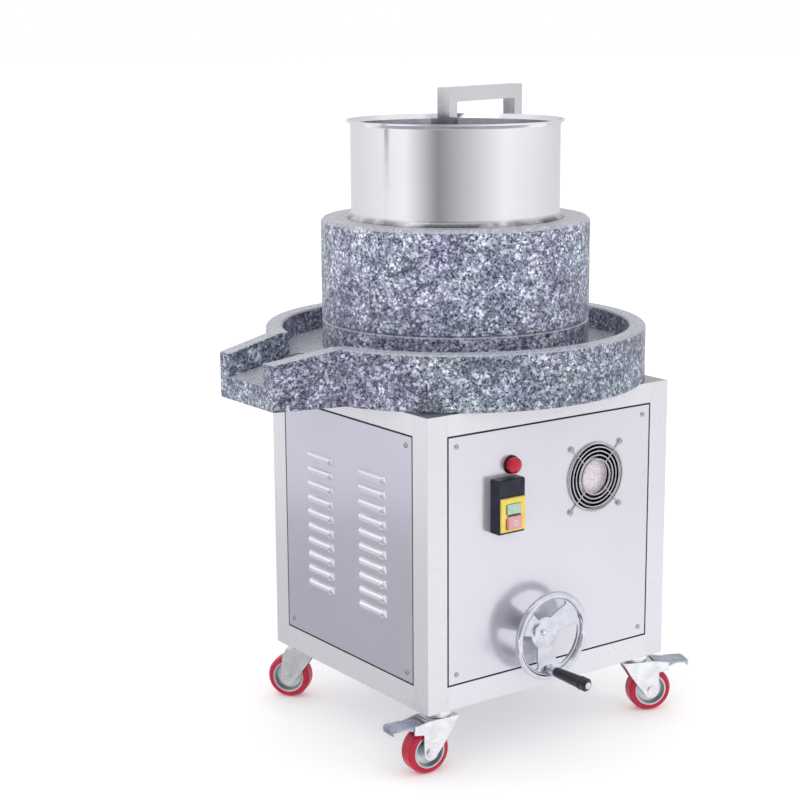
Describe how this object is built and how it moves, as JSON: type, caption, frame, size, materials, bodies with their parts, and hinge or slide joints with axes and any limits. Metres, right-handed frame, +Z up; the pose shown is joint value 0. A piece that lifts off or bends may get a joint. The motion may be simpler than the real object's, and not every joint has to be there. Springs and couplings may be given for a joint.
{
  "type": "nut butter grinder",
  "caption": "Stone mill for nut butter: granite bed stone with trough and spout, turning runner stone and hopper, stirrer arm, stainless cabinet on castors with handwheel, switch, lamp and fan.",
  "frame": {"origin": "on the floor under the castors, in the middle of the machine's footprint", "axes": "+Z up, -Y towards the front with the controls, -X towards the spout"},
  "size_m": [0.733, 0.7022, 1.058],
  "materials": {
    "stainless": "brushed",
    "panel": "brushed",
    "granite": "polished faces, dressed edges",
    "steel": "machined",
    "cast": "painted",
    "bronze": "machined",
    "motor_paint": "satin",
    "chrome": "polished",
    "grip": "matt",
    "zinc": "bright zinc",
    "hub": "cast",
    "tread": "satin",
    "slate_plastic": "matt",
    "yellow_plastic": "gloss",
    "green_plastic": "gloss",
    "red_plastic": "gloss",
    "black_plastic": "matt",
    "lens": "clear red"
  },
  "bodies": {
    "cabinet": {"corner_posts": "stainless", "upper_rails": "stainless", "lower_rails": "stainless", "top_plate": "steel", "base_plate": "stainless", "front_panel": "panel", "left_panel": "panel", "right_panel": "panel", "rear_panel": "panel", "bed_stone": "granite", "guide_bush": "bronze", "arm_socket": "stainless", "socket_bolts": "zinc", "gearbox_housing": "cast", "motor_body": "motor_paint", "motor_cowl": "motor_paint", "jack_housing": "cast", "shaft_bearing": "cast", "switch_housing": "slate_plastic", "switch_collar": "yellow_plastic", "lamp_bezel": "black_plastic", "lamp_lens": "lens", "fan_guard": "chrome", "fan_housing": "black_plastic", "cable_gland": "black_plastic", "castor_stems": "zinc"},
    "lift": {"lift_screw": "steel", "thrust_bearing": "steel"},
    "runner": {"main_shaft": "steel", "rynd": "cast", "runner_stone": "granite", "hopper": "stainless"},
    "output": {"output_sleeve": "steel"},
    "rotor": {"motor_rotor": "steel"},
    "wheel_control": {"handwheel": "chrome", "handwheel_shaft": "steel"},
    "grip": {"crank_grip": "grip"},
    "stirrer_arm": {"stirrer_post": "stainless", "stirrer_crossbar": "stainless", "stirrer_leg": "stainless"},
    "start": {"start_button": "green_plastic"},
    "stop": {"stop_button": "red_plastic"},
    "fan": {"fan_rotor": "black_plastic"},
    "swivel_front_left": {"fork_front_left": "zinc"},
    "roller_front_left": {"hub_front_left": "hub", "tyre_front_left": "tread"},
    "brake_front_left": {"pedal_front_left": "zinc"},
    "swivel_front_right": {"fork_front_right": "zinc"},
    "roller_front_right": {"hub_front_right": "hub", "tyre_front_right": "tread"},
    "brake_front_right": {"pedal_front_right": "zinc"},
    "swivel_rear_left": {"fork_rear_left": "zinc"},
    "roller_rear_left": {"hub_rear_left": "hub", "tyre_rear_left": "tread"},
    "swivel_rear_right": {"fork_rear_right": "zinc"},
    "roller_rear_right": {"hub_rear_right": "hub", "tyre_rear_right": "tread"}
  },
  "joints": [
    {"name": "stone_lift", "type": "slide", "parent": "cabinet", "child": "lift", "axis": [0, 0, 1], "range_m": [0, 0.006]},
    {"name": "runner_spin", "type": "hinge", "parent": "lift", "child": "runner", "pos_m": [0.0465, 0.0311, 0.7], "axis": [0, 0, 1], "continuous": true},
    {"name": "output_spin", "type": "hinge", "parent": "cabinet", "child": "output", "pos_m": [0.0465, 0.0311, 0.5], "axis": [0, 0, 1], "continuous": true},
    {"name": "rotor_spin", "type": "hinge", "parent": "cabinet", "child": "rotor", "pos_m": [0.1665, 0.1091, 0.493], "axis": [1, 0, 0], "continuous": true},
    {"name": "handwheel_turn", "type": "hinge", "parent": "cabinet", "child": "wheel_control", "pos_m": [0.0185, -0.2589, 0.2], "axis": [0, -1, 0], "range_deg": [0, 7200]},
    {"name": "grip_spin", "type": "hinge", "parent": "wheel_control", "child": "grip", "pos_m": [0.0185, -0.2989, 0.142], "axis": [0, -1, 0], "continuous": true},
    {"name": "arm_lift", "type": "slide", "parent": "cabinet", "child": "stirrer_arm", "axis": [0, 0, 1], "range_m": [0, 0.17]},
    {"name": "start_press", "type": "slide", "parent": "cabinet", "child": "start", "axis": [0, 1, 0], "range_m": [0, 0.003], "stiffness_N_per_m": 800},
    {"name": "stop_press", "type": "slide", "parent": "cabinet", "child": "stop", "axis": [0, 1, 0], "range_m": [0, 0.003], "stiffness_N_per_m": 800},
    {"name": "fan_spin", "type": "hinge", "parent": "cabinet", "child": "fan", "pos_m": [0.1375, -0.2089, 0.439], "axis": [0, -1, 0], "continuous": true},
    {"name": "swivel_front_left", "type": "hinge", "parent": "cabinet", "child": "swivel_front_left", "pos_m": [-0.1655, -0.2009, 0.09], "axis": [0, 0, 1], "continuous": true},
    {"name": "roll_front_left", "type": "hinge", "parent": "swivel_front_left", "child": "roller_front_left", "pos_m": [-0.19044, -0.19916, 0.0375], "axis": [-0.0698, -0.9976, 0], "continuous": true},
    {"name": "brake_front_left", "type": "hinge", "parent": "swivel_front_left", "child": "brake_front_left", "pos_m": [-0.2064, -0.19804, 0.0805], "axis": [-0.0698, -0.9976, 0], "range_deg": [0, 12]},
    {"name": "swivel_front_right", "type": "hinge", "parent": "cabinet", "child": "swivel_front_right", "pos_m": [0.2585, -0.2009, 0.09], "axis": [0, 0, 1], "continuous": true},
    {"name": "roll_front_right", "type": "hinge", "parent": "swivel_front_right", "child": "roller_front_right", "pos_m": [0.28168, -0.21027, 0.0375], "axis": [0.3746, 0.9272, 0], "continuous": true},
    {"name": "brake_front_right", "type": "hinge", "parent": "swivel_front_right", "child": "brake_front_right", "pos_m": [0.29651, -0.21626, 0.0805], "axis": [0.3746, 0.9272, 0], "range_deg": [0, 12]},
    {"name": "swivel_rear_left", "type": "hinge", "parent": "cabinet", "child": "swivel_rear_left", "pos_m": [-0.1655, 0.1941, 0.09], "axis": [0, 0, 1], "continuous": true},
    {"name": "roll_rear_left", "type": "hinge", "parent": "swivel_rear_left", "child": "roller_rear_left", "pos_m": [-0.18157, 0.21325, 0.0375], "axis": [-0.766, -0.6428, 0], "continuous": true},
    {"name": "swivel_rear_right", "type": "hinge", "parent": "cabinet", "child": "swivel_rear_right", "pos_m": [0.2585, 0.1941, 0.09], "axis": [0, 0, 1], "continuous": true},
    {"name": "roll_rear_right", "type": "hinge", "parent": "swivel_rear_right", "child": "roller_rear_right", "pos_m": [0.26946, 0.21657, 0.0375], "axis": [-0.8988, 0.4384, 0], "continuous": true}
  ],
  "couplings": [
    {"joint": "output_spin", "follows": "runner_spin", "ratio": 1},
    {"joint": "rotor_spin", "follows": "runner_spin", "ratio": 30},
    {"joint": "handwheel_turn", "follows": "stone_lift", "rad_per_m": 20944}
  ]
}
